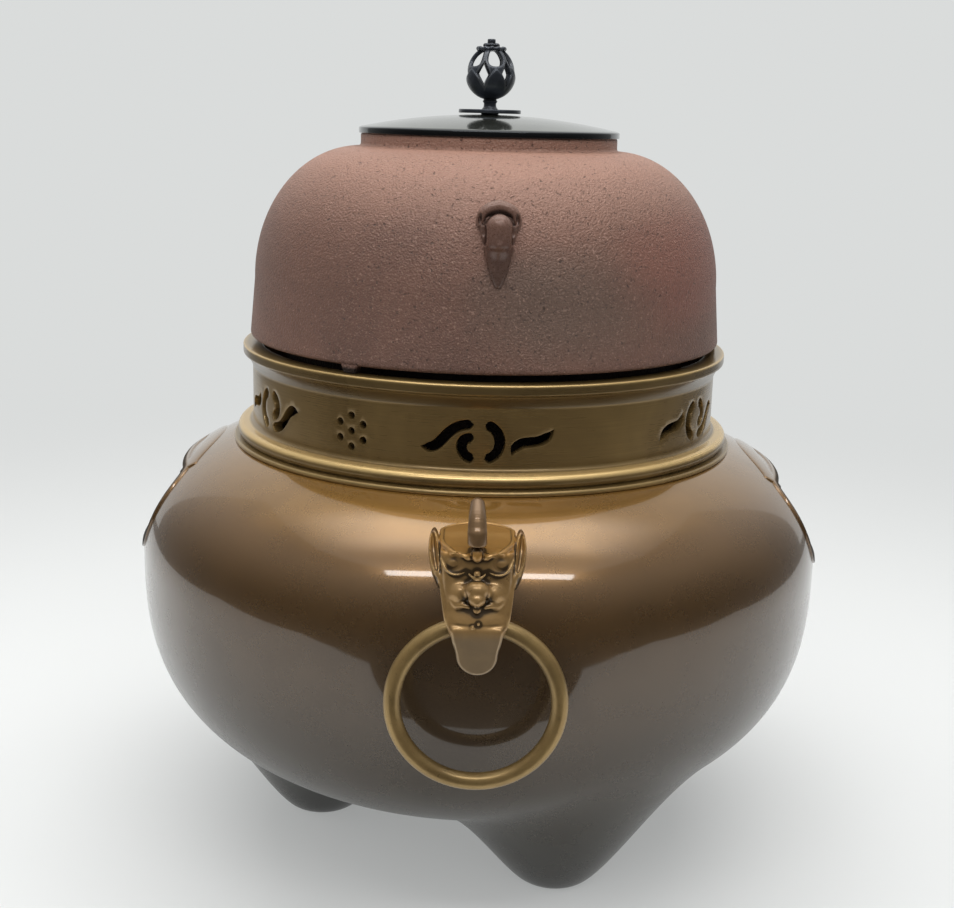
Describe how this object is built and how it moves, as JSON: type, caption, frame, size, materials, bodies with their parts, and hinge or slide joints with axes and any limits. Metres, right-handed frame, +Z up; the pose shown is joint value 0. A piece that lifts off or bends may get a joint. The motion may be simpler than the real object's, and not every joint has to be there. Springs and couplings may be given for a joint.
{
  "type": "furo brazier",
  "caption": "Bronze tea-room charcoal brazier on swelling legs, with pierced neck, side fire windows, mask rings and an iron kettle with lid.",
  "frame": {"origin": "on the floor, under the brazier's axis", "axes": "+Z up along the axis, -Y towards one mask, X through the fire windows"},
  "size_m": [0.3394, 0.3904, 0.3974],
  "materials": {
    "bowl_bronze": "lacquered bronze, gold at the shoulder, dark at the feet",
    "neck_bronze": "satin lacquered bronze",
    "mask_bronze": "satin cast bronze",
    "fastener_brass": "plain",
    "ring_brass": "satin",
    "kettle_iron": "matt, sand-cast skin",
    "lid_bronze": "dark patina, glossy",
    "knob_black": "black patina"
  },
  "bodies": {
    "brazier": {"bowl": "bowl_bronze", "neck": "neck_bronze", "mask_front": "mask_bronze", "mask_rear": "mask_bronze", "mask_washers": "fastener_brass", "mask_nuts": "fastener_brass"},
    "front_ring": {"ring_front": "ring_brass"},
    "rear_ring": {"ring_rear": "ring_brass"},
    "kettle_body": {"kettle": "kettle_iron", "kettle_lug_front": "kettle_iron", "kettle_lug_rear": "kettle_iron", "sound_plates": "kettle_iron"},
    "lid_body": {"lid": "lid_bronze", "knob_seat": "knob_black", "knob": "knob_black", "knob_back_washer": "lid_bronze"}
  },
  "joints": [
    {"name": "ring_front_swing", "type": "hinge", "parent": "brazier", "child": "front_ring", "pos_m": [0, -0.178, 0.169], "axis": [-1, 0, 0], "range_deg": [-8, 95]},
    {"name": "ring_rear_swing", "type": "hinge", "parent": "brazier", "child": "rear_ring", "pos_m": [0, 0.178, 0.169], "axis": [1, 0, 0], "range_deg": [-8, 95]},
    {"name": "kettle_lift", "type": "slide", "parent": "brazier", "child": "kettle_body", "axis": [0, 0, 1], "range_m": [0, 0.12]},
    {"name": "lid_lift", "type": "slide", "parent": "kettle_body", "child": "lid_body", "axis": [0, 0, 1], "range_m": [0, 0.06]}
  ]
}
